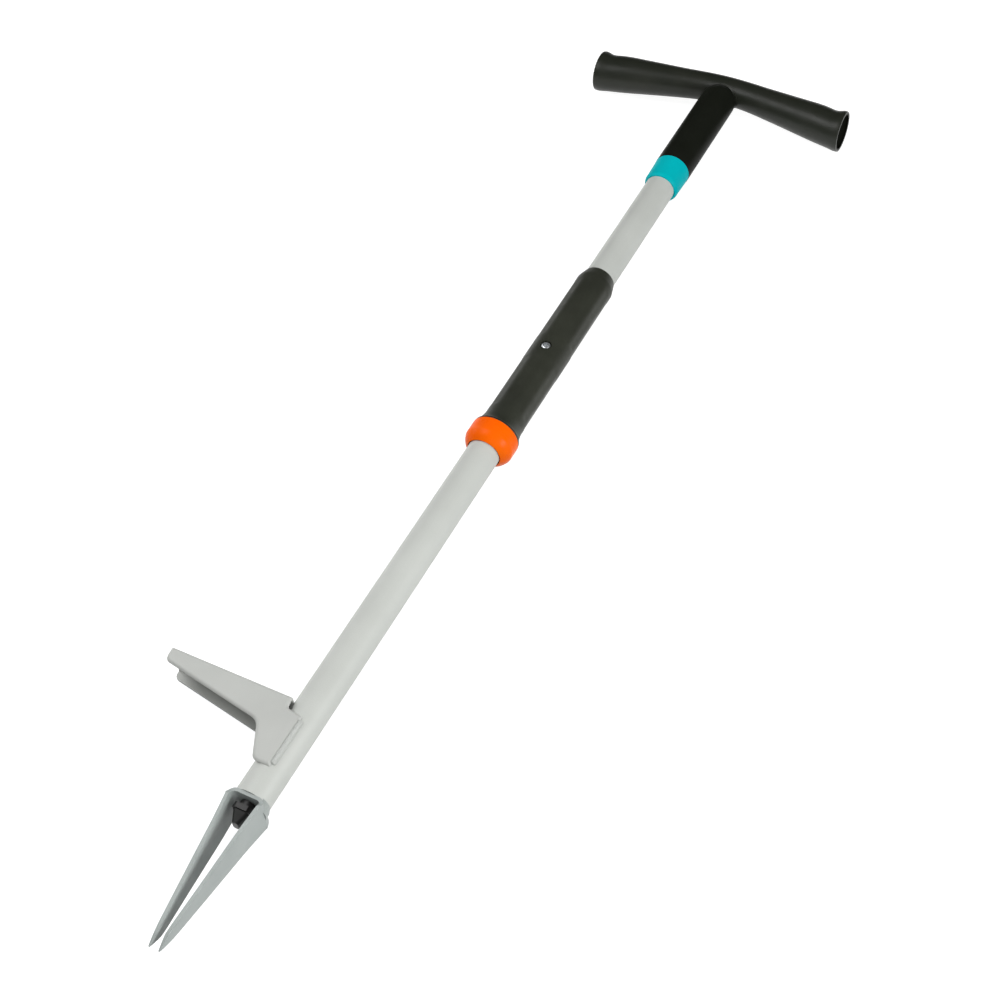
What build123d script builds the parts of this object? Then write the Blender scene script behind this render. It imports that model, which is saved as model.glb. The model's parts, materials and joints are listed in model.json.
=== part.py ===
from build123d import *
import math
import os

# Stand up weeder, lying on its back: the shaft runs along Y with the fork's tips
# towards -Y and the T-handle towards +Y, and +Z is the front, where the cross screw is.
# Places along the shaft are stations, in millimetres from the top face of the fork's
# yoke, positive towards the T-handle.

# ---- driving dimensions ----
TUBE_OD = 30.0
TUBE_WALL = 1.5
TUBE_TOP = 925.0
TUBE_COPE = 4.5          # how far the tube's foot reaches down over the fork's bends
RUNNING = 0.3            # gap between sliding pieces

STRAP = 2.8              # fork
FORK_HALF = 15.8
FORK_TIP_HALF = 4.7
FORK_LENGTH = 128.5
YOKE_BEND = 6.5
YOKE_DEPTH = 8.0
YOKE_WIDE = 14.0
SHOULDER = 16.5
BLADE_NEAR_TIP = 6.6
BLANK_HALF = 17.5
WELD_HALF = 10.0
WELD_LEG = 1.3
BLADE_CUP = 1.1          # how far the blades' edges bow inwards
BLADE_BACK = 0.8         # how far the blades sit behind the shaft's axis
ROD_HOLE = 5.0
TIP_GRIND = 11.0         # the tips are ground on the inside over this length,
TIP_EDGE = 0.8           # down to this thickness

PEDAL_SHEET = 2.2        # foot pedal
PEDAL_REACH = 125.0
PEDAL_TOP = 84.0
PEDAL_FOOT = 24.0
PEDAL_LAP = 3.5          # how far the side plates pass the shaft's axis
PEDAL_SEAM_TOP = 72.0    # top of the side plates' edge on the tube
PEDAL_THROAT = 12.5      # where the side plates leave the tube, from its axis
PEDAL_BEND = 1.2         # inside radius of the folds
PEDAL_BACK_RISE = 3.5    # how much slimmer the back plate's free stretch is

RING_FOOT = 379.5        # sliding sleeve
SLEEVE_FOOT = 402.5
SLEEVE_TOP = 622.5
SLEEVE_R = 18.7
RING_R = 22.9
LINER_OUT_R = 16.3
SCREW_STATION = 506.5
TRAVEL = 44.0
FLUTES = 10
FLUTE_R = 12.0
FLUTE_DEPTH = 0.7
LOWER_FLUTE = (426.0, 490.0)    # stations of the two ends of a flute's straight run
UPPER_FLUTE = (523.0, 603.0)
LIP_R = 22.4
SCREW_RECESS_R = 5.2
NUT_HALF = 4.0
NUT_HEIGHT = 2.5
SCREW_SEAT = 15.9

NECK_RING_FOOT = 771.5   # handle
NECK_FOOT = 802.5
NECK_R = 18.8
NECK_SCREW_STATION = 862.0
NECK_SCREW_R = 2.1
NECK_HEAD_R = 3.9
COLLAR = 2.0             # how far the skin's collar stands out round the neck
BAR_HALF = 138.0
BAR_STATION = 949.5
GRIP_SKIN = 1.4
CORE_WALL = 1.6
HOLLOW_FROM = 24.0
NECK_DOME_FOOT = 926.0
NECK_DOME_TOP = 947.0
BAR_PROFILE = [          # distance from the middle, droop of the centre line, radius
    (0.0, 0.0, 14.8),
    (24.0, 1.4, 15.0),
    (48.0, 5.2, 15.9),
    (72.0, 9.2, 17.3),
    (96.0, 13.4, 18.8),
    (118.0, 17.6, 19.6),
    (129.0, 19.6, 20.0),
    (135.5, 19.2, 21.2),
    (BAR_HALF, 19.4, 20.8),
]

ROD_R = 4.0              # ejector
HEAD_TOP = -3.5
FLANGE_TOP = -8.5
FLANGE_FOOT = -13.0
HEAD_FOOT = -22.5
FLANGE_HALF = 7.3
FLANGE_DEEP = 10.2
FLANGE_ROUND = 11.2      # rounds the flange's corners
HUB_R = 7.0
ROD_FOOT = -12.0
ROD_TOP = 500.0
HEAD_PIN = -6.0
PIN_R = 1.25
SLIDER_FOOT = 478.0
SLIDER_LENGTH = 42.0
SLIDER_PIN = 488.0
GUIDE_FEET = (6.0, 300.0)       # the two bushes in the tube
GUIDE_LENGTH = 18.0

tube_r = TUBE_OD / 2
bore_r = tube_r - TUBE_WALL
bar_top = BAR_STATION + BAR_PROFILE[0][2]
middle = (bar_top - FORK_LENGTH) / 2
shaft_z = RING_R         # the hand stop rests on the ground
liner_in_r = tube_r + RUNNING
liner_foot = RING_FOOT + 1.5
liner_top = SLEEVE_TOP - 2.5
slider_r = bore_r - RUNNING
spacer_r = 3.0
screw_r = 2.5
neck_seat = NECK_R - 2.2

# ---- planes ----
AXIS = Axis((0, 0, shaft_z), (0, 1, 0))
FRONT = Plane(origin=(0, -middle, shaft_z), x_dir=(1, 0, 0), z_dir=(0, 0, 1))   # x, station
PROFILE = Plane(origin=(0, -middle, shaft_z), x_dir=(0, 1, 0), z_dir=(0, 0, 1))  # station, radius
SIDE = Plane(origin=(0, -middle, shaft_z), x_dir=(0, 1, 0), z_dir=(1, 0, 0))    # station, height


def across(station):
    """A plane square to the shaft: its x is X, its y is Z, and it faces the tips."""
    return Plane(origin=(0, station - middle, shaft_z), x_dir=(1, 0, 0), z_dir=(0, -1, 0))


def square_to_bar(x, station):
    """A plane square to the T-handle: its x runs along the shaft."""
    return Plane(origin=(x, station - middle, shaft_z), x_dir=(0, 1, 0), z_dir=(1, 0, 0))


def facing(station, height, toward):
    """A plane along the cross screw's axis, facing the front (1) or the back (-1)."""
    return Plane(
        origin=(0, station - middle, shaft_z + height), x_dir=(1, 0, 0), z_dir=(0, 0, toward)
    )


os.makedirs("parts", exist_ok=True)


def finish(builder, name):
    builder.part.label = name
    export_step(builder.part, f"parts/{name}.step")


# ---- fork: a strap bent into an inverted U, then cut to two tapering blades ----
blade_origin = (0, -middle, shaft_z - BLADE_BACK)
blade_lean = (FORK_HALF - FORK_TIP_HALF) / FORK_LENGTH


def outer_half(depth):
    """Half the fork's outside width, this far below the yoke."""
    return FORK_HALF - blade_lean * depth


def yoke_outline(inset, depth):
    """The bent strap seen from the front, closed across its open end."""
    half = outer_half(depth) - inset
    corner = FORK_HALF - inset
    with BuildSketch() as outline:
        with BuildLine():
            bent = FilletPolyline(
                (-half, -depth), (-corner, -inset), (corner, -inset), (half, -depth),
                radius=YOKE_BEND - inset,
            )
            Line(bent @ 1, bent @ 0)
        make_face()
    return outline.sketch


with BuildPart() as fork:
    with BuildSketch(FRONT):
        add(yoke_outline(0, YOKE_DEPTH))
        add(yoke_outline(STRAP, YOKE_DEPTH), mode=Mode.SUBTRACT)
    extrude(amount=BLANK_HALF, both=True)
    for side in (1, -1):
        for depth, cup in ((YOKE_DEPTH, 0.2), (32.0, BLADE_CUP), (FORK_LENGTH + 1, BLADE_CUP)):
            face_x = outer_half(depth)
            with BuildSketch(across(-depth)):
                with BuildLine():
                    outer = ThreePointArc(
                        (side * (face_x - cup), BLANK_HALF),
                        (side * face_x, 0),
                        (side * (face_x - cup), -BLANK_HALF),
                    )
                    inner = ThreePointArc(
                        (side * (face_x - cup - STRAP), BLANK_HALF),
                        (side * (face_x - STRAP), 0),
                        (side * (face_x - cup - STRAP), -BLANK_HALF),
                    )
                    Line(outer @ 0, inner @ 0)
                    Line(outer @ 1, inner @ 1)
                make_face()
        loft(ruled=True)
    with BuildSketch(Plane(blade_origin, x_dir=SIDE.x_dir, z_dir=SIDE.z_dir).offset(-TUBE_OD)):
        with BuildLine():
            Polyline((-FORK_LENGTH, 0), (1, 0), (1, YOKE_WIDE), (-2.5, YOKE_WIDE))
            throat = ThreePointArc(
                (-2.5, YOKE_WIDE), (-5.2, YOKE_WIDE + 0.7), (-6.8, SHOULDER - 0.4)
            )
            nose = ThreePointArc(throat @ 1, (-7.5, SHOULDER), (-8.6, SHOULDER - 0.1))
            edge = Line(nose @ 1, (-FORK_LENGTH + 23.5, BLADE_NEAR_TIP))
            point = ThreePointArc(edge @ 1, (-FORK_LENGTH + 9, 4.0), (-FORK_LENGTH + 0.2, 0.7))
            Line(point @ 1, (-FORK_LENGTH, 0))
        make_face()
        mirror(about=Plane.XZ)
    extrude(amount=2 * TUBE_OD, mode=Mode.INTERSECT)
    with BuildSketch(across(1)):
        Circle(ROD_HOLE)
    extrude(amount=STRAP + 2, mode=Mode.SUBTRACT)
    for side in (1, -1):
        ground_from = outer_half(FORK_LENGTH - TIP_GRIND) - STRAP
        edge_x = FORK_TIP_HALF - TIP_EDGE
        with BuildSketch(FRONT):
            with BuildLine():
                Polyline(
                    (side * ground_from, -FORK_LENGTH + TIP_GRIND),
                    (side * edge_x, -FORK_LENGTH - 0.1),
                    (side * (edge_x - STRAP), -FORK_LENGTH - 0.1),
                    (side * (edge_x - STRAP), -FORK_LENGTH + TIP_GRIND),
                    close=True,
                )
            make_face()
        extrude(amount=TUBE_OD, both=True, mode=Mode.SUBTRACT)
finish(fork, "fork")

# ---- shaft tube: coped at its foot to sit over the fork's bends ----
slot_foot = SCREW_STATION - TRAVEL - spacer_r - 0.6
slot_top = SCREW_STATION + spacer_r + 0.6
slot_middle = (slot_foot + slot_top) / 2
slot_length = slot_top - slot_foot
slot_width = 2 * (spacer_r + RUNNING)

with BuildPart() as shaft_tube:
    with BuildSketch(across(-TUBE_COPE)):
        Circle(tube_r)
        Circle(bore_r, mode=Mode.SUBTRACT)
    extrude(amount=-(TUBE_TOP + TUBE_COPE))
    with BuildSketch(FRONT):
        add(yoke_outline(0, YOKE_DEPTH))
    extrude(amount=TUBE_OD, both=True, mode=Mode.SUBTRACT)
    with BuildSketch(FRONT):
        with Locations((0, slot_middle)):
            SlotOverall(slot_length, slot_width, rotation=90)
    extrude(amount=TUBE_OD, both=True, mode=Mode.SUBTRACT)
    with BuildSketch(facing(NECK_SCREW_STATION, 0, -1)):
        Circle(NECK_SCREW_R)
    extrude(amount=TUBE_OD, mode=Mode.SUBTRACT)
finish(shaft_tube, "shaft_tube")

# ---- fork weld: a fillet round the tube's coped foot, on the two bends ----
with BuildPart() as fork_weld:
    with BuildSketch(PROFILE):
        with BuildLine():
            throat = ThreePointArc(
                (-1.5, tube_r + WELD_LEG), (0.2, tube_r + 0.5), (WELD_LEG + 0.3, tube_r)
            )
            Polyline(
                throat @ 1,
                (WELD_LEG + 0.3, bore_r + 1),
                (-TUBE_COPE - 2, bore_r + 1),
                (-TUBE_COPE - 2, tube_r + WELD_LEG),
                throat @ 0,
            )
        make_face()
    revolve(axis=AXIS)
    with BuildSketch(across(-TUBE_COPE - 3)):
        Circle(tube_r)
    extrude(amount=-3 * TUBE_COPE, mode=Mode.SUBTRACT)
    with BuildSketch(FRONT):
        add(yoke_outline(0, YOKE_DEPTH))
    extrude(amount=TUBE_OD, both=True, mode=Mode.SUBTRACT)
    with BuildSketch(across(-2 * TUBE_COPE)):
        Rectangle(2 * TUBE_OD, 2 * WELD_HALF)
    extrude(amount=-4 * TUBE_COPE, mode=Mode.INTERSECT)
finish(fork_weld, "fork_weld")

# ---- foot pedal: a folded channel, open towards the tips ----
plate_face = tube_r + PEDAL_SHEET
tread_foot = PEDAL_TOP - PEDAL_SHEET


def side_plate(rise, end_radius):
    """A side plate's outline, the foot of its free stretch raised by rise."""
    corners = [          # x, station and corner radius
        (-PEDAL_REACH, PEDAL_TOP, 1.0),
        (-PEDAL_THROAT, PEDAL_TOP, 1.0),
        (-PEDAL_THROAT + 1.5, PEDAL_SEAM_TOP + 2.4, 2.5),
        (PEDAL_LAP, PEDAL_SEAM_TOP, 1.0),
        (PEDAL_LAP, PEDAL_FOOT, 1.0),
        (-PEDAL_THROAT, PEDAL_FOOT, 7.0),
        (-27.5, 54.6 + rise, 11.0),
        (-PEDAL_REACH + 1.3, PEDAL_SEAM_TOP - 1 + rise, end_radius),
    ]
    with BuildSketch() as outline:
        with BuildLine():
            FilletPolyline(
                [(x, station) for x, station, radius in corners],
                radius=[radius for x, station, radius in corners],
                close=True,
            )
        make_face()
    return outline.sketch


front_plate = side_plate(0, 6.5)
back_plate = side_plate(PEDAL_BACK_RISE, 5.0)

with BuildPart() as foot_pedal:
    with BuildSketch(FRONT):
        add(front_plate)
    extrude(amount=plate_face, both=True)
    outer_bends = edges().filter_by(Axis.X).group_by(Axis.Y)[-1]
    fillet(outer_bends, PEDAL_SHEET + PEDAL_BEND)
    with BuildSketch(FRONT):
        with Locations((-PEDAL_REACH - 5, tread_foot)):
            Rectangle(2 * PEDAL_REACH, 2 * PEDAL_TOP, align=(Align.MIN, Align.MAX))
    extrude(amount=tube_r, both=True, mode=Mode.SUBTRACT)
    inner_bends = edges().filter_by(Axis.X).filter_by_position(
        Axis.Y, tread_foot - middle - 0.01, tread_foot - middle + 0.01
    )
    fillet(inner_bends, PEDAL_BEND)
    with BuildSketch(across(tread_foot - 2)):
        Circle(tube_r + RUNNING)
    extrude(amount=-(PEDAL_SHEET + 4), mode=Mode.SUBTRACT)
    with BuildSketch(FRONT):
        add(front_plate)
        add(back_plate, mode=Mode.SUBTRACT)
    extrude(amount=-(plate_face + 1), mode=Mode.SUBTRACT)
finish(foot_pedal, "foot_pedal")

# ---- pedal welds: a fillet seam along each side plate's edge on the tube ----
with BuildPart() as pedal_welds:
    with BuildSketch(across(PEDAL_FOOT + 3)):
        with BuildLine():
            Polyline(
                (PEDAL_LAP, tube_r - 2),
                (PEDAL_LAP, plate_face - 0.1),
                (PEDAL_LAP + 0.9, plate_face - 0.5),
                (PEDAL_LAP + 2.0, plate_face - 1.7),
                (PEDAL_LAP + 3.4, tube_r - 1.1),
                (PEDAL_LAP + 4.4, tube_r - 2),
                close=True,
            )
        make_face()
        mirror(about=Plane.XZ)
    extrude(amount=-(PEDAL_SEAM_TOP - PEDAL_FOOT - 6))
    with BuildSketch(across(PEDAL_FOOT)):
        Circle(tube_r)
    extrude(amount=-PEDAL_TOP, mode=Mode.SUBTRACT)
finish(pedal_welds, "pedal_welds")


# ---- T-handle: hard core with the neck, soft skin on the cross tube ----
def bar_solid(inset):
    """The cross tube's shape, drawn in by inset."""
    sections = [(-x, droop, radius) for x, droop, radius in reversed(BAR_PROFILE[1:])] + BAR_PROFILE
    with BuildPart() as bar:
        for x, droop, radius in sections:
            with BuildSketch(square_to_bar(x, BAR_STATION - droop)):
                Circle(radius - inset)
        loft()
    return bar.part


def neck_solid(extra):
    """The neck, with its domed end, drawn out by extra."""
    with BuildPart() as neck:
        with BuildSketch(PROFILE):
            with BuildLine():
                outer = NECK_R + extra
                Polyline((NECK_DOME_TOP + extra, 0), (NECK_FOOT, 0), (NECK_FOOT, outer))
                wall = Line((NECK_FOOT, outer), (NECK_DOME_FOOT, outer))
                TangentArc(wall @ 1, (NECK_DOME_TOP + extra, 0), tangent=wall % 1)
            make_face()
        revolve(axis=AXIS)
    return neck.part


with BuildPart() as bar_hollow:
    add(bar_solid(GRIP_SKIN + CORE_WALL))
    with BuildSketch(FRONT):
        with Locations((0, BAR_STATION)):
            Rectangle(2 * HOLLOW_FROM, 4 * NECK_R)
    extrude(amount=2 * NECK_R, both=True, mode=Mode.SUBTRACT)

with BuildPart() as handle_core:
    add(bar_solid(GRIP_SKIN))
    add(neck_solid(0))
    add(bar_hollow.part, mode=Mode.SUBTRACT)
    with BuildSketch(across(NECK_FOOT - 1)):
        Circle(tube_r)
    extrude(amount=-(TUBE_TOP - NECK_FOOT + 1), mode=Mode.SUBTRACT)
    with BuildSketch(facing(NECK_SCREW_STATION, -neck_seat, -1)):
        Circle(NECK_HEAD_R + 0.4)
    extrude(amount=5, mode=Mode.SUBTRACT)
    with BuildSketch(facing(NECK_SCREW_STATION, 0, -1)):
        Circle(NECK_SCREW_R)
    extrude(amount=TUBE_OD, mode=Mode.SUBTRACT)
finish(handle_core, "handle_core")

with BuildPart() as neck_collar:
    add(neck_solid(COLLAR))
    add(bar_solid(-1.2), mode=Mode.INTERSECT)

with BuildPart() as t_grip:
    add(bar_solid(0))
    add(neck_collar.part)
    add(neck_solid(0), mode=Mode.SUBTRACT)
    add(bar_solid(GRIP_SKIN), mode=Mode.SUBTRACT)
finish(t_grip, "t_grip")

# ---- neck ring: the coloured ring at the neck's lower end ----
with BuildPart() as neck_ring:
    with BuildSketch(PROFILE):
        with BuildLine():
            foot = ThreePointArc(
                (NECK_RING_FOOT, tube_r + 1.1),
                (NECK_RING_FOOT + 1.6, tube_r + 2.2),
                (NECK_RING_FOOT + 6, tube_r + 2.9),
            )
            Polyline(
                foot @ 1,
                (NECK_FOOT, NECK_R - 0.2),
                (NECK_FOOT, tube_r),
                (NECK_RING_FOOT, tube_r),
                foot @ 0,
            )
        make_face()
    revolve(axis=AXIS)
finish(neck_ring, "neck_ring")

# ---- plug in the tube's top end, and the screw that holds the neck on it ----
with BuildPart() as upper_plug:
    with BuildSketch(across(NECK_SCREW_STATION - 14)):
        Circle(bore_r)
    extrude(amount=-(TUBE_TOP - NECK_SCREW_STATION + 13))
    with BuildSketch(facing(NECK_SCREW_STATION, -4, -1)):
        Circle(NECK_SCREW_R)
    extrude(amount=TUBE_OD, mode=Mode.SUBTRACT)
finish(upper_plug, "upper_plug")


def pan_head(radius, height):
    """A cross-recess pan head, its seat at the origin."""
    with BuildPart() as head:
        with BuildSketch(Plane.XZ):
            with BuildLine():
                Polyline((0, height), (0, 0), (radius, 0), (radius, 0.35 * height))
                ThreePointArc(
                    (radius, 0.35 * height), (0.82 * radius, 0.82 * height), (0.45 * radius, height)
                )
                Line((0.45 * radius, height), (0, height))
            make_face()
        revolve(axis=Axis.Z)
        with BuildSketch(Plane.XY.offset(0.45 * height)):
            Rectangle(0.26 * radius, 1.1 * radius)
            Rectangle(1.1 * radius, 0.26 * radius)
        extrude(amount=height, mode=Mode.SUBTRACT)
    return head.part


with BuildPart() as neck_screw:
    with Locations(facing(NECK_SCREW_STATION, -neck_seat, -1)):
        add(pan_head(NECK_HEAD_R, 1.9))
    with BuildSketch(facing(NECK_SCREW_STATION, -neck_seat, 1)):
        Circle(NECK_SCREW_R)
    extrude(amount=neck_seat - 4)
finish(neck_screw, "neck_screw")


# ---- bushes in the tube that guide the push rod ----
def rod_guide(foot):
    """A bush in the tube, its lower face at this station."""
    with BuildPart() as guide:
        with BuildSketch(across(foot)):
            Circle(bore_r)
            Circle(ROD_R + RUNNING, mode=Mode.SUBTRACT)
        extrude(amount=-GUIDE_LENGTH)
    return guide


rod_guide_lower = rod_guide(GUIDE_FEET[0])
finish(rod_guide_lower, "rod_guide_lower")
rod_guide_upper = rod_guide(GUIDE_FEET[1])
finish(rod_guide_upper, "rod_guide_upper")

# ---- sliding sleeve: soft fluted grip, hard liner, hand stop ----
flute_bed = SLEEVE_R - FLUTE_DEPTH
cutter_axis = flute_bed + FLUTE_R

with BuildPart() as flute_cutters:
    for foot, top in (LOWER_FLUTE, UPPER_FLUTE):
        with BuildSketch(PROFILE):
            with BuildLine():
                CenterArc((foot, cutter_axis), FLUTE_R, 180, 90)
                CenterArc((top, cutter_axis), FLUTE_R, 270, 90)
                Line((foot, flute_bed), (top, flute_bed))
                Line((foot - FLUTE_R, cutter_axis), (top + FLUTE_R, cutter_axis))
            make_face()
        revolve(axis=Axis((-cutter_axis, 0, shaft_z), (0, 1, 0)))

with BuildPart() as ejector_grip:
    with BuildSketch(PROFILE):
        with BuildLine():
            lip = Line((SLEEVE_FOOT, LIP_R), (SLEEVE_FOOT + 1.6, LIP_R))
            flare = ThreePointArc(
                lip @ 1, (SLEEVE_FOOT + 6, SLEEVE_R + 1.1), (SLEEVE_FOOT + 14, SLEEVE_R)
            )
            wall = Line(flare @ 1, (SLEEVE_TOP - 11, SLEEVE_R))
            crown = ThreePointArc(
                wall @ 1, (SLEEVE_TOP - 4, SLEEVE_R - 0.9), (SLEEVE_TOP, liner_in_r + 0.5)
            )
            Polyline(
                crown @ 1,
                (SLEEVE_TOP, liner_in_r),
                (liner_top, liner_in_r),
                (liner_top, LINER_OUT_R),
                (SLEEVE_FOOT, LINER_OUT_R),
                lip @ 0,
            )
        make_face()
    revolve(axis=AXIS)
    for number in range(FLUTES):
        turned = flute_cutters.part.rotate(AXIS, 360 / FLUTES * (number + 0.5))
        add(turned, mode=Mode.SUBTRACT)
    with BuildSketch(facing(SCREW_STATION, LINER_OUT_R - 1, 1)):
        Circle(SCREW_RECESS_R)
    extrude(amount=TUBE_OD, mode=Mode.SUBTRACT)
    with BuildSketch(facing(SCREW_STATION, -LINER_OUT_R + 1, -1)):
        RegularPolygon(NUT_HALF + 0.2, 6, major_radius=False)
    extrude(amount=TUBE_OD, mode=Mode.SUBTRACT)
finish(ejector_grip, "ejector_grip")

with BuildPart() as grip_liner:
    with BuildSketch(across(liner_foot)):
        Circle(LINER_OUT_R)
        Circle(liner_in_r, mode=Mode.SUBTRACT)
    extrude(amount=liner_foot - liner_top)
    with BuildSketch(facing(SCREW_STATION, 0, 1)):
        Circle(screw_r)
    extrude(amount=TUBE_OD, both=True, mode=Mode.SUBTRACT)
    with BuildSketch(facing(SCREW_STATION, SCREW_SEAT, 1)):
        Circle(SCREW_RECESS_R)
    extrude(amount=TUBE_OD, mode=Mode.SUBTRACT)
    with BuildSketch(facing(SCREW_STATION, -SCREW_SEAT, -1)):
        RegularPolygon(NUT_HALF + 0.2, 6, major_radius=False)
    extrude(amount=TUBE_OD, mode=Mode.SUBTRACT)
finish(grip_liner, "grip_liner")

with BuildPart() as grip_ring:
    with BuildSketch(PROFILE):
        with BuildLine():
            foot = ThreePointArc(
                (RING_FOOT, liner_in_r + 1.0),
                (RING_FOOT + 3.4, RING_R - 3.1),
                (RING_FOOT + 8.6, RING_R - 0.25),
            )
            side = ThreePointArc(
                foot @ 1, (RING_FOOT + 9.5, RING_R - 0.07), (RING_FOOT + 10.6, RING_R)
            )
            Polyline(
                side @ 1,
                (SLEEVE_FOOT - 0.8, RING_R),
                (SLEEVE_FOOT, RING_R - 0.6),
                (SLEEVE_FOOT, LINER_OUT_R),
                (liner_foot, LINER_OUT_R),
                (liner_foot, liner_in_r + 0.5),
                (RING_FOOT, liner_in_r + 0.5),
                foot @ 0,
            )
        make_face()
    revolve(axis=AXIS)
finish(grip_ring, "grip_ring")

# ---- cross screw, nut and spacer ----
with BuildPart() as cross_screw:
    with Locations(facing(SCREW_STATION, SCREW_SEAT, 1)):
        add(pan_head(4.4, 2.4))
    with BuildSketch(facing(SCREW_STATION, SCREW_SEAT, -1)):
        Circle(screw_r)
    extrude(amount=2 * SCREW_SEAT + NUT_HEIGHT)
finish(cross_screw, "cross_screw")

with BuildPart() as cross_nut:
    with BuildSketch(facing(SCREW_STATION, -SCREW_SEAT, -1)):
        RegularPolygon(NUT_HALF, 6, major_radius=False)
        Circle(screw_r, mode=Mode.SUBTRACT)
    extrude(amount=NUT_HEIGHT)
finish(cross_nut, "cross_nut")

spacer_half = math.sqrt(liner_in_r**2 - spacer_r**2)
with BuildPart() as slot_spacer:
    with BuildSketch(facing(SCREW_STATION, 0, 1)):
        Circle(spacer_r)
        Circle(screw_r, mode=Mode.SUBTRACT)
    extrude(amount=spacer_half, both=True)
finish(slot_spacer, "slot_spacer")

# ---- slider block, push rod and pins ----
with BuildPart() as rod_slider:
    with BuildSketch(across(SLIDER_FOOT)):
        Circle(slider_r)
    extrude(amount=-SLIDER_LENGTH)
    chamfer(edges().filter_by(GeomType.CIRCLE), 1.0)
    with BuildSketch(across(SLIDER_FOOT)):
        Circle(ROD_R)
    extrude(amount=-(ROD_TOP - SLIDER_FOOT), mode=Mode.SUBTRACT)
    with BuildSketch(facing(SCREW_STATION, 0, 1)):
        Circle(spacer_r)
    extrude(amount=TUBE_OD, both=True, mode=Mode.SUBTRACT)
    with BuildSketch(square_to_bar(0, SLIDER_PIN)):
        Circle(PIN_R)
    extrude(amount=TUBE_OD, both=True, mode=Mode.SUBTRACT)
finish(rod_slider, "rod_slider")

with BuildPart() as push_rod:
    with BuildSketch(across(ROD_FOOT)):
        Circle(ROD_R)
    extrude(amount=-(ROD_TOP - ROD_FOOT))
    for station in (SLIDER_PIN, HEAD_PIN):
        with BuildSketch(square_to_bar(0, station)):
            Circle(PIN_R)
        extrude(amount=TUBE_OD, both=True, mode=Mode.SUBTRACT)
finish(push_rod, "push_rod")


def cross_pin(station, half):
    """A pin through the rod at this station."""
    with BuildPart() as pin:
        with BuildSketch(square_to_bar(0, station)):
            Circle(PIN_R)
        extrude(amount=half, both=True)
        chamfer(edges().filter_by(GeomType.CIRCLE), 0.25)
    return pin


slider_pin = cross_pin(SLIDER_PIN, slider_r - 0.8)
finish(slider_pin, "slider_pin")
head_pin = cross_pin(HEAD_PIN, HUB_R - 0.3)
finish(head_pin, "head_pin")

# ---- ejector head: hub, flange with a rounded front, and tapering pusher ----
with BuildPart() as ejector_head:
    with BuildSketch(across(HEAD_TOP)):
        Circle(HUB_R)
    extrude(amount=HEAD_TOP - FLANGE_TOP)
    with BuildSketch(across(FLANGE_TOP)):
        Circle(FLANGE_ROUND)
        Rectangle(2 * FLANGE_HALF, 2 * FLANGE_DEEP, mode=Mode.INTERSECT)
    extrude(amount=FLANGE_TOP - FLANGE_FOOT)
    with BuildSketch(across(FLANGE_FOOT)):
        RectangleRounded(2 * FLANGE_HALF - 1.6, 2 * FLANGE_DEEP - 4, 2)
    with BuildSketch(across(HEAD_FOOT)):
        RectangleRounded(5.2, 8.5, 2)
    loft()
    with BuildSketch(across(HEAD_TOP)):
        Circle(ROD_R)
    extrude(amount=HEAD_TOP - ROD_FOOT, mode=Mode.SUBTRACT)
    with BuildSketch(square_to_bar(0, HEAD_PIN)):
        Circle(PIN_R)
    extrude(amount=TUBE_OD, both=True, mode=Mode.SUBTRACT)
finish(ejector_head, "ejector_head")
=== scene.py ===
import json
import math

import bmesh
import bpy
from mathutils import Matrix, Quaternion, Vector

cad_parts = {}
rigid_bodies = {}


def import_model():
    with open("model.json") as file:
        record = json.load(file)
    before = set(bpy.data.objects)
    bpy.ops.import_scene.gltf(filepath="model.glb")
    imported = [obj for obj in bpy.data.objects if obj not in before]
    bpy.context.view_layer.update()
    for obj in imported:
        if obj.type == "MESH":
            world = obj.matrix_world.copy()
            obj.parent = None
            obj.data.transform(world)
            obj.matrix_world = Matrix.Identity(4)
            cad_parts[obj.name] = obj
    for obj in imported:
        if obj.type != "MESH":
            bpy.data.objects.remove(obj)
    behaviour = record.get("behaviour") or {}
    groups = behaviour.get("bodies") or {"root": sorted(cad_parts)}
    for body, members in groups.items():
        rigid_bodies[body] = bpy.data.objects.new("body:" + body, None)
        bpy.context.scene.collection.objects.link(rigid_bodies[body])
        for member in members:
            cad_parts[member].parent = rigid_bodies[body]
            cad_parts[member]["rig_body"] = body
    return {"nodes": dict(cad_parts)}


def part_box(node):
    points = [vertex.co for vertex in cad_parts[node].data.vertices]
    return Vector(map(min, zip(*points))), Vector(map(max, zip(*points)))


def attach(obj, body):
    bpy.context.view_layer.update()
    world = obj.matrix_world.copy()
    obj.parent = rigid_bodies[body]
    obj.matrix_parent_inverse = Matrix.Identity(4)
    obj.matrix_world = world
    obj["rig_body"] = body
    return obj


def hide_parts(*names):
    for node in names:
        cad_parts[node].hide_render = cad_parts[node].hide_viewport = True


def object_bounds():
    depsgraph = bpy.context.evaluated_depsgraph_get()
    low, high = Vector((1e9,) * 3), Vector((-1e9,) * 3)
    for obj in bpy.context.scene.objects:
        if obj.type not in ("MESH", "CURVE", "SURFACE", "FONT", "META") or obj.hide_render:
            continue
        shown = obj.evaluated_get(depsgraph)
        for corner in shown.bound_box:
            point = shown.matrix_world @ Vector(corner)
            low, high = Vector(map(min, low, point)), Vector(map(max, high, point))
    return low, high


# Stand up weeder on its back: +Y runs along the shaft towards the T-handle, +Z is the
# front with the cross screw. Everything is in metres.

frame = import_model()
cad_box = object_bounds()
low, high = cad_box
centre = (low + high) / 2

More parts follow.
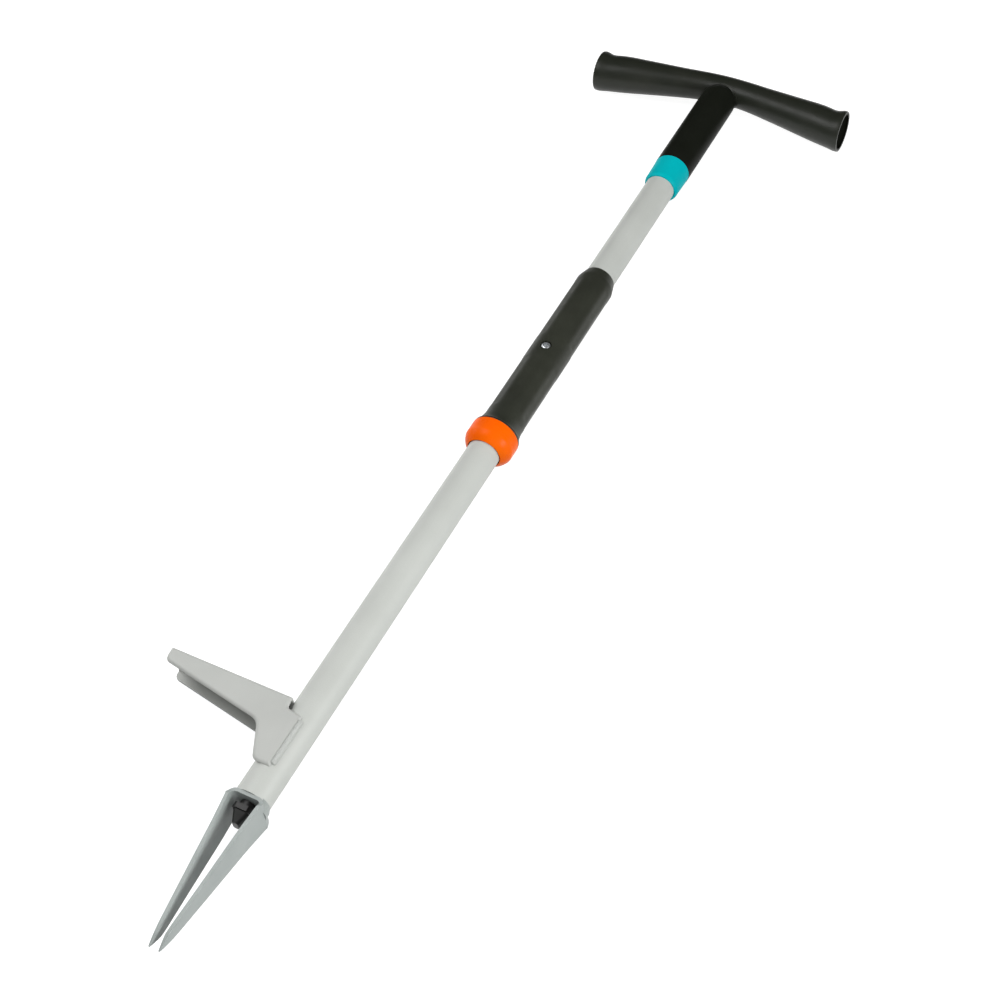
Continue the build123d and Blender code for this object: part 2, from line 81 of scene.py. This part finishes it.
# ---- camera, floor and light ----
VIEW_AZIMUTH = math.radians(29.7)
VIEW_ELEVATION = math.radians(47.39)
VIEW_DISTANCE = 1.4263
VIEW_ROLL = math.radians(4.45)
AIM = Vector((0.0372, -0.0802, 0))      # from the middle of the object
LENS = 57.6
FLOOR_HALF = 12.0
FLOOR_ALBEDO = 0.35
FLOOR_GLOW = 0.92
DOME_R = 11.0
DOME_GLOW = 0.95
SKY_BELOW = 0.10                        # strength of the studio's even light
SKY_ABOVE = 0.31
SKY_SLANT = (0, 0.45, 0.9)              # towards the bright part
SKY_FADE = (-0.3, 0.0)                  # how far along the slant it brightens
FOOT_END = centre - Vector((0, 0.45, 0))
SOFTBOXES = [                           # name, place, size, watts
    ("side", (1.6, -0.35, 0.6), (1.2, 0.7), 23),
    ("overhead", (-0.7, -0.35, 1.5), (0.9, 0.9), 12.5),
    ("left", (-1.8, 0.2, 0.7), (1.6, 0.9), 11),
    ("fill", (0.9, -1.9, 1.3), (1.4, 1.0), 3),
]


def linear(red, green, blue):
    """A colour given as sRGB 0 to 255, as the linear values a shader takes."""
    def one(value):
        value /= 255
        return value / 12.92 if value <= 0.04045 else ((value + 0.055) / 1.055) ** 2.4
    return (one(red), one(green), one(blue), 1)


def place(obj):
    bpy.context.scene.collection.objects.link(obj)
    return obj


def add_camera():
    camera = place(bpy.data.objects.new("camera", bpy.data.cameras.new("camera")))
    camera.data.lens = LENS
    camera.data.sensor_width = 36
    camera.data.clip_end = 60
    level = math.cos(VIEW_ELEVATION)
    back = Vector((
        math.sin(VIEW_AZIMUTH) * level, -math.cos(VIEW_AZIMUTH) * level, math.sin(VIEW_ELEVATION)
    ))
    camera.location = centre + VIEW_DISTANCE * back
    sight = centre + AIM - camera.location
    camera.rotation_mode = "QUATERNION"
    turn = Quaternion(sight.normalized(), VIEW_ROLL)
    camera.rotation_quaternion = turn @ sight.to_track_quat("-Z", "Y")
    bpy.context.scene.camera = camera


def add_softbox(name, position, size, watts):
    light = bpy.data.lights.new(name, "AREA")
    light.shape = "RECTANGLE"
    light.size, light.size_y = size
    light.energy = watts
    lamp = place(bpy.data.objects.new(name, light))
    lamp.location = position
    lamp.rotation_mode = "QUATERNION"
    lamp.rotation_quaternion = (FOOT_END - Vector(position)).to_track_quat("-Z", "Y")


def glowing(name, albedo, glow, roughness, specular):
    """A white paint that gives off light of its own."""
    paint, shader = new_material(name, (albedo, albedo, albedo, 1), roughness, specular=specular)
    shader.inputs["Emission Color"].default_value = (1, 1, 1, 1)
    shader.inputs["Emission Strength"].default_value = glow
    return paint


def add_backdrop():
    """A white dome that only the camera sees."""
    dome = bmesh.new()
    bmesh.ops.create_uvsphere(dome, u_segments=64, v_segments=32, radius=DOME_R)
    mesh = bpy.data.meshes.new("backdrop")
    dome.to_mesh(mesh)
    dome.free()
    backdrop = place(bpy.data.objects.new("backdrop", mesh))
    mesh.materials.append(glowing("backdrop", 0, DOME_GLOW, 0.5, 0))
    backdrop.visible_diffuse = False
    backdrop.visible_glossy = False
    backdrop.visible_transmission = False
    backdrop.visible_shadow = False


def add_floor():
    mesh = bpy.data.meshes.new("floor")
    half = FLOOR_HALF
    mesh.from_pydata(
        [(-half, -half, 0), (half, -half, 0), (half, half, 0), (-half, half, 0)], [], [(0, 1, 2, 3)]
    )
    floor = place(bpy.data.objects.new("floor", mesh))
    floor.location.z = low.z
    mesh.materials.append(glowing("floor", FLOOR_ALBEDO, FLOOR_GLOW, 0.95, 0.1))
    floor.visible_diffuse = False


def add_sky():
    """Even light, dimmer from below and from the fork's side."""
    world = bpy.data.worlds.new("studio")
    world.use_nodes = True
    sky = world.node_tree.nodes["Background"]
    sky.inputs["Color"].default_value = (1.0, 1.0, 1.0, 1)
    nodes, links = world.node_tree.nodes, world.node_tree.links
    direction = nodes.new("ShaderNodeTexCoord")
    height = nodes.new("ShaderNodeVectorMath")
    height.operation = "DOT_PRODUCT"
    height.inputs[1].default_value = SKY_SLANT
    ramp = nodes.new("ShaderNodeMapRange")
    ramp.inputs["From Min"].default_value = SKY_FADE[0]
    ramp.inputs["From Max"].default_value = SKY_FADE[1]
    ramp.inputs["To Min"].default_value = SKY_BELOW
    ramp.inputs["To Max"].default_value = SKY_ABOVE
    links.new(direction.outputs["Generated"], height.inputs[0])
    links.new(height.outputs["Value"], ramp.inputs["Value"])
    links.new(ramp.outputs["Result"], sky.inputs["Strength"])
    world.cycles_visibility.glossy = False
    bpy.context.scene.world = world


def add_studio():
    add_floor()
    add_backdrop()
    add_sky()
    bpy.context.scene.view_settings.view_transform = "Standard"
    for name, position, size, watts in SOFTBOXES:
        add_softbox(name, position, size, watts)


# ---- materials ----
def new_material(name, colour, roughness, metallic=0.0, specular=0.5):
    material = bpy.data.materials.new(name)
    material.use_nodes = True
    shader = material.node_tree.nodes["Principled BSDF"]
    shader.inputs["Base Color"].default_value = colour
    shader.inputs["Roughness"].default_value = roughness
    shader.inputs["Metallic"].default_value = metallic
    shader.inputs["Specular IOR Level"].default_value = specular
    return material, shader


def noise(material, scale, detail=2.0, stretch=(1, 1, 1)):
    """Noise over the object's own coordinates; scale is in repeats per metre."""
    nodes, links = material.node_tree.nodes, material.node_tree.links
    place_node = nodes.new("ShaderNodeTexCoord")
    mapping = nodes.new("ShaderNodeMapping")
    mapping.inputs["Scale"].default_value = stretch
    texture = nodes.new("ShaderNodeTexNoise")
    texture.inputs["Scale"].default_value = scale
    texture.inputs["Detail"].default_value = detail
    links.new(place_node.outputs["Object"], mapping.inputs["Vector"])
    links.new(mapping.outputs["Vector"], texture.inputs["Vector"])
    return texture.outputs["Fac"]


def spread(material, factor, low_value, high_value):
    """Maps noise, which keeps near its middle, to a range of values."""
    node = material.node_tree.nodes.new("ShaderNodeMapRange")
    node.inputs["From Min"].default_value = 0.3
    node.inputs["From Max"].default_value = 0.7
    node.inputs["To Min"].default_value = low_value
    node.inputs["To Max"].default_value = high_value
    material.node_tree.links.new(factor, node.inputs["Value"])
    return node.outputs["Result"]


MIX_FACTOR, MIX_A, MIX_B, MIX_RESULT = 0, 6, 7, 2      # a Mix node's sockets for colours


def mottle(material, shader, scale, darker, lighter, stretch=(1, 1, 1)):
    """Colour that drifts between two close tones."""
    mix = material.node_tree.nodes.new("ShaderNodeMix")
    mix.data_type = "RGBA"
    mix.inputs[MIX_A].default_value = darker
    mix.inputs[MIX_B].default_value = lighter
    factor = spread(material, noise(material, scale, 4.0, stretch), 0, 1)
    material.node_tree.links.new(factor, mix.inputs[MIX_FACTOR])
    material.node_tree.links.new(mix.outputs[MIX_RESULT], shader.inputs["Base Color"])


def vary_roughness(material, shader, scale, smoothest, roughest):
    factor = spread(material, noise(material, scale, 3.0), smoothest, roughest)
    material.node_tree.links.new(factor, shader.inputs["Roughness"])


def grain(material, shader, scale, height, stretch=(1, 1, 1)):
    bump = material.node_tree.nodes.new("ShaderNodeBump")
    bump.inputs["Strength"].default_value = 1.0
    bump.inputs["Distance"].default_value = height
    factor = noise(material, scale, 2.0, stretch)
    material.node_tree.links.new(factor, bump.inputs["Height"])
    material.node_tree.links.new(bump.outputs["Normal"], shader.inputs["Normal"])


def coated(name, darker, lighter, roughness, peel_pitch=900, peel_height=0.00006):
    """Powder coat: fine orange peel and a faint drift of tone."""
    material, shader = new_material(name, lighter, roughness)
    mottle(material, shader, 18, darker, lighter)
    vary_roughness(material, shader, 60, roughness - 0.05, roughness + 0.06)
    grain(material, shader, peel_pitch, peel_height)
    return material


def moulded(name, darker, lighter, roughness, grain_height, specular=0.5, pitch=1400):
    """Moulded plastic or soft-touch rubber."""
    material, shader = new_material(name, lighter, roughness, specular=specular)
    mottle(material, shader, 30, darker, lighter)
    vary_roughness(material, shader, 90, roughness - 0.05, roughness + 0.06)
    grain(material, shader, pitch, grain_height)
    return material


def metal(name, darker, lighter, roughness, stretch=(1, 1, 1), metallic=1.0):
    material, shader = new_material(name, lighter, roughness, metallic=metallic)
    mottle(material, shader, 240, darker, lighter, stretch)
    vary_roughness(material, shader, 300, roughness - 0.06, roughness + 0.08)
    grain(material, shader, 1500, 0.00002, stretch)
    return material


tube_coat = coated("tube_coat", linear(192, 195, 190), linear(199, 202, 197), 0.46)
pedal_coat = coated("pedal_coat", linear(182, 184, 180), linear(189, 191, 187), 0.52)
fork_coat = coated("fork_coat", linear(157, 164, 162), linear(169, 176, 173), 0.45)
tube_weld = coated("tube_weld", linear(176, 179, 175), linear(189, 192, 188), 0.45, 320, 0.0006)
fork_bead = coated("fork_bead", linear(152, 159, 156), linear(169, 176, 173), 0.42, 320, 0.0006)
soft_black = moulded("soft_black", linear(45, 47, 40), linear(54, 56, 48), 0.42, 0.00005, 0.2)
bar_black = moulded("bar_black", linear(35, 38, 31), linear(41, 43, 36), 0.4, 0.00004, 0.32)
hard_black = moulded("hard_black", linear(24, 26, 21), linear(29, 31, 26), 0.36, 0.00002, 0.02)
ejector_black = moulded("ejector_black", linear(14, 14, 13), linear(19, 19, 17), 0.4, 0.00003, 0.6)
turquoise = moulded("turquoise", linear(0, 180, 188), linear(0, 190, 198), 0.45, 0.00002, 0.04)
orange = moulded("orange", linear(254, 98, 0), linear(255, 109, 4), 0.27, 0.00002, 0.07)
zinc = metal("zinc", (0.62, 0.66, 0.68, 1), (0.80, 0.83, 0.85, 1), 0.3, metallic=0.8)
steel = metal("bright_steel", (0.48, 0.48, 0.48, 1), (0.62, 0.62, 0.62, 1), 0.30, (1, 0.05, 1))
nylon = moulded("nylon", linear(212, 210, 200), linear(222, 220, 211), 0.5, 0.00003)

finishes = {
    "shaft_tube": tube_coat,
    "fork": fork_coat,
    "fork_weld": fork_bead,
    "foot_pedal": pedal_coat,
    "pedal_welds": tube_weld,
    "handle_core": hard_black,
    "t_grip": bar_black,
    "neck_ring": turquoise,
    "upper_plug": nylon,
    "neck_screw": zinc,
    "rod_guide_lower": nylon,
    "rod_guide_upper": nylon,
    "ejector_grip": soft_black,
    "grip_liner": hard_black,
    "grip_ring": orange,
    "cross_screw": zinc,
    "cross_nut": zinc,
    "slot_spacer": zinc,
    "rod_slider": nylon,
    "push_rod": steel,
    "slider_pin": steel,
    "ejector_head": ejector_black,
    "head_pin": steel,
}


def dress(obj, material):
    obj.data.materials.clear()
    obj.data.materials.append(material)


for node, material in finishes.items():
    dress(frame["nodes"][node], material)


# ---- meshes ----
SMOOTH_ANGLE = math.radians(35)


def solid_mesh(name, points, faces):
    """A closed mesh with every face turned outwards."""
    mesh = bpy.data.meshes.new(name)
    mesh.from_pydata(points, [], faces)
    shell = bmesh.new()
    shell.from_mesh(mesh)
    bmesh.ops.recalc_face_normals(shell, faces=shell.faces)
    shell.to_mesh(mesh)
    shell.free()
    return mesh


def finish_mesh(mesh):
    mesh.validate()
    mesh.shade_smooth()
    mesh.set_sharp_from_angle(angle=SMOOTH_ANGLE)


# ---- sheet and strap pieces with eased edges ----
EASE = 0.00035
FLAT_ANGLE = math.radians(0.6)
MERGE = 0.000005


def eased(node, seam_x=math.inf):
    """Stands in for a CAD node: the same shape with its sharp edges rounded.
    Edges past seam_x lie in a weld and stay sharp."""
    cad = frame["nodes"][node]
    solid = bmesh.new()
    solid.from_mesh(cad.data)
    bmesh.ops.remove_doubles(solid, verts=solid.verts, dist=MERGE)
    bmesh.ops.dissolve_limit(
        solid, angle_limit=FLAT_ANGLE, verts=solid.verts, edges=solid.edges
    )
    corners = [
        edge for edge in solid.edges
        if edge.is_manifold and edge.calc_face_angle(0) > SMOOTH_ANGLE
        and min(vert.co.x for vert in edge.verts) < seam_x
    ]
    bmesh.ops.bevel(
        solid, geom=corners, offset=EASE, segments=2, profile=0.5, affect="EDGES",
        clamp_overlap=True,
    )
    points = [v.co.copy() for v in solid.verts]
    solid.verts.index_update()
    faces = [[v.index for v in f.verts] for f in solid.faces]
    solid.free()
    mesh = bpy.data.meshes.new(node + "_eased")
    mesh.from_pydata(points, [], faces)
    finish_mesh(mesh)
    piece = place(bpy.data.objects.new(node + "_eased", mesh))
    dress(piece, finishes[node])
    keep_flat = piece.modifiers.new("flat faces", "WEIGHTED_NORMAL")
    keep_flat.keep_sharp = True
    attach(piece, cad["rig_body"])
    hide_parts(node)


# ---- the sliding sleeve's soft grip, along the sleeve from its foot ----
FLUTES = 10
FIELD_DEPTH = 0.0001
FLUTE_DEPTH = 0.00042
FLUTE_FADE = 0.003
FLUTE_END = 0.002
LOWER_FLUTE = (0.0235, 0.0875)
UPPER_FLUTE = (0.1205, 0.2005)
GRIP_R = 0.0187
BORE_R = 0.0163
TUBE_FIT_R = 0.0153                     # the sleeve's top end, close round the tube
LIP_FLAT = 0.0016
LIP_CORNER = 0.0003
FLARE = 0.014
FLARE_BEND = (0.0055, 0.0017)           # along, and out from the grip's radius
CROWN = 0.011
CROWN_DROP = 0.0014
CROWN_EDGE = 0.0005
MOUTH = 0.0025
GRIP_SEGMENTS = 200
GRIP_ROWS = 120
RECESS_R = 0.0052
POCKET_ROOM = 0.0003
CUT_FROM, CUT_TO = 0.012, 0.03          # the recess and the pocket, from the shaft's axis


def ramp_up(value, start, end):
    t = min(max((value - start) / (end - start), 0), 1)
    return t * t * (3 - 2 * t)


def arc(start, middle, end, steps):
    """Points on the curve through three points, the first left out."""
    bend = [2 * m - (a + b) / 2 for a, m, b in zip(start, middle, end)]
    points = []
    for step in range(1, steps + 1):
        t = step / steps
        points.append(tuple(
            (1 - t) ** 2 * a + 2 * t * (1 - t) * c + t * t * b
            for a, c, b in zip(start, bend, end)
        ))
    return points


def grip_profile(length, lip_r):
    """(along, radius) round the sleeve's section, from the lip up and back down the bore."""
    crown_foot = length - CROWN
    profile = [(0, lip_r - LIP_CORNER), (LIP_CORNER, lip_r), (LIP_FLAT, lip_r)]
    flare_middle = (FLARE_BEND[0], GRIP_R + FLARE_BEND[1])
    profile += arc(profile[-1], flare_middle, (FLARE, GRIP_R), 16)
    run = crown_foot - FLARE
    for row in range(1, GRIP_ROWS + 1):
        profile.append((FLARE + run * row / GRIP_ROWS, GRIP_R))
    crown_middle = (length - CROWN / 2, GRIP_R - CROWN_DROP)
    profile += arc((crown_foot, GRIP_R), crown_middle, (length, TUBE_FIT_R + CROWN_EDGE), 10)
    profile += [(length, TUBE_FIT_R), (length - MOUTH, TUBE_FIT_R), (length - MOUTH, BORE_R)]
    profile += [(length / 2, BORE_R), (0, BORE_R)]
    return profile


def flute_depth(along, angle):
    fade = 0
    for start, end in (LOWER_FLUTE, UPPER_FLUTE):
        rise = ramp_up(along, start - FLUTE_FADE, start + FLUTE_END)
        fade += rise * (1 - ramp_up(along, end - FLUTE_END, end + FLUTE_FADE))
    flute = 0.5 + 0.5 * math.cos(FLUTES * angle)
    return fade * (FIELD_DEPTH + FLUTE_DEPTH * flute)


def turned_grip(name, profile, origin):
    """The closed profile turned about a line along Y through origin, with flutes outside."""
    points, faces = [], []
    for along, radius in profile:
        outside = radius > BORE_R + 0.001
        for step in range(GRIP_SEGMENTS):
            angle = math.tau * step / GRIP_SEGMENTS
            r = radius - flute_depth(along, angle) if outside else radius
            points.append((
                origin.x + r * math.sin(angle), origin.y + along, origin.z + r * math.cos(angle)
            ))
    rows = len(profile)
    for row in range(rows):
        for step in range(GRIP_SEGMENTS):
            here, there = row * GRIP_SEGMENTS, (row + 1) % rows * GRIP_SEGMENTS
            side = (step + 1) % GRIP_SEGMENTS
            faces.append((here + step, there + step, there + side, here + side))
    return solid_mesh(name, points, faces)


def cut(piece, cutter):
    """Takes cutter out of piece, for good, and deletes it."""
    tool = piece.modifiers.new("cut", "BOOLEAN")
    tool.operation = "DIFFERENCE"
    tool.solver = "EXACT"
    tool.object = cutter
    bpy.context.view_layer.update()
    shown = piece.evaluated_get(bpy.context.evaluated_depsgraph_get())
    mesh = bpy.data.meshes.new_from_object(shown)
    piece.modifiers.clear()
    piece.data = mesh
    bpy.data.objects.remove(cutter)


def post(name, radius, sides, axis, start, end):
    """A closed prism round a line along Z through axis, between two heights above it."""
    points = []
    for height in (start, end):
        for step in range(sides):
            angle = math.tau * step / sides
            points.append((
                axis.x + radius * math.cos(angle),
                axis.y + radius * math.sin(angle),
                axis.z + height,
            ))
    faces = [tuple(range(sides)), tuple(reversed(range(sides, 2 * sides)))]
    for step in range(sides):
        side = (step + 1) % sides
        faces.append((step, step + sides, side + sides, side))
    return place(bpy.data.objects.new(name, solid_mesh(name, points, faces)))


def make_grip():
    foot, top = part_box("ejector_grip")
    screw_low, screw_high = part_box("cross_screw")
    nut_low, nut_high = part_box("cross_nut")
    axis = Vector((centre.x, foot.y, (foot.z + top.z) / 2))
    profile = grip_profile(top.y - foot.y, (top.x - foot.x) / 2)
    mesh = turned_grip("ejector_grip_fluted", profile, axis)
    piece = place(bpy.data.objects.new("ejector_grip_fluted", mesh))
    screw = Vector((axis.x, (screw_low.y + screw_high.y) / 2, axis.z))
    pocket_r = (nut_high.x - nut_low.x) / 2 + POCKET_ROOM
    cut(piece, post("recess", RECESS_R, 48, screw, CUT_FROM, CUT_TO))
    cut(piece, post("pocket", pocket_r, 6, screw, -CUT_TO, -CUT_FROM))
    finish_mesh(piece.data)
    dress(piece, soft_black)
    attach(piece, "ejector")
    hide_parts("ejector_grip")


# ---- the foot pedal's weld seams ----
BEAD_HALF_WIDTH = 0.0022
BEAD_HALF_HEIGHT = 0.0032
BEAD_DEPTH = 0.0034                     # from the bead's crown down into the tube's wall
BEAD_MIDDLE = 0.0003                    # from the side plate's edge to the bead's middle
BEAD_RISE = 0.00012                     # how far the crown stands over the plate
BEAD_RIPPLES = 17
BEAD_RIPPLE = 0.03                      # share by which a ripple widens the bead
BEAD_ENDS = 30                          # the bead's length over the length of a rounded end
BEAD_END_LOSS = 0.8                     # part of the squared size that an end gives up
BEAD_ROWS = 136
BEAD_SIDES = 20


def bead_swell(along):
    """The bead's size at a share of its length: rippled, and rounded off at both ends."""
    ripple = 1 + BEAD_RIPPLE * math.cos(math.tau * BEAD_RIPPLES * along)
    from_end = min(along, 1 - along)
    return ripple * math.sqrt(1 - (1 - min(from_end * BEAD_ENDS, 1)) ** 2 * BEAD_END_LOSS)


def make_pedal_welds():
    """Stands in for pedal_welds: one rippled bead along the edge of each side plate."""
    corners = [vert.co for vert in frame["nodes"]["pedal_welds"].data.vertices]
    edge_x = min(corner.x for corner in corners)
    foot, top = min(corner.y for corner in corners), max(corner.y for corner in corners)
    points, faces = [], []
    for side in (-1, 1):
        crown = side * (max(side * corner.z for corner in corners) + BEAD_RISE)
        first = len(points)
        for row in range(BEAD_ROWS + 1):
            along = row / BEAD_ROWS
            swell = bead_swell(along)
            for step in range(BEAD_SIDES):
                turn = math.tau * step / BEAD_SIDES
                depth = BEAD_HALF_HEIGHT * (1 - swell * math.sin(turn))
                points.append((
                    edge_x + BEAD_MIDDLE + BEAD_HALF_WIDTH * swell * math.cos(turn),
                    foot + (top - foot) * along,
                    crown - side * min(depth, BEAD_DEPTH),
                ))
        for row in range(BEAD_ROWS):
            for step in range(BEAD_SIDES):
                here = first + row * BEAD_SIDES + step
                beside = first + row * BEAD_SIDES + (step + 1) % BEAD_SIDES
                faces.append((here, beside, beside + BEAD_SIDES, here + BEAD_SIDES))
        faces.append(tuple(range(first, first + BEAD_SIDES)))
        faces.append(tuple(range(len(points) - BEAD_SIDES, len(points))))
    mesh = solid_mesh("pedal_weld_beads", points, faces)
    finish_mesh(mesh)
    piece = place(bpy.data.objects.new("pedal_weld_beads", mesh))
    dress(piece, tube_weld)
    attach(piece, frame["nodes"]["pedal_welds"]["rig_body"])
    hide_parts("pedal_welds")


eased("fork")
eased("foot_pedal", seam_x=centre.x)
eased("ejector_head")
make_grip()
make_pedal_welds()

add_camera()
add_studio()
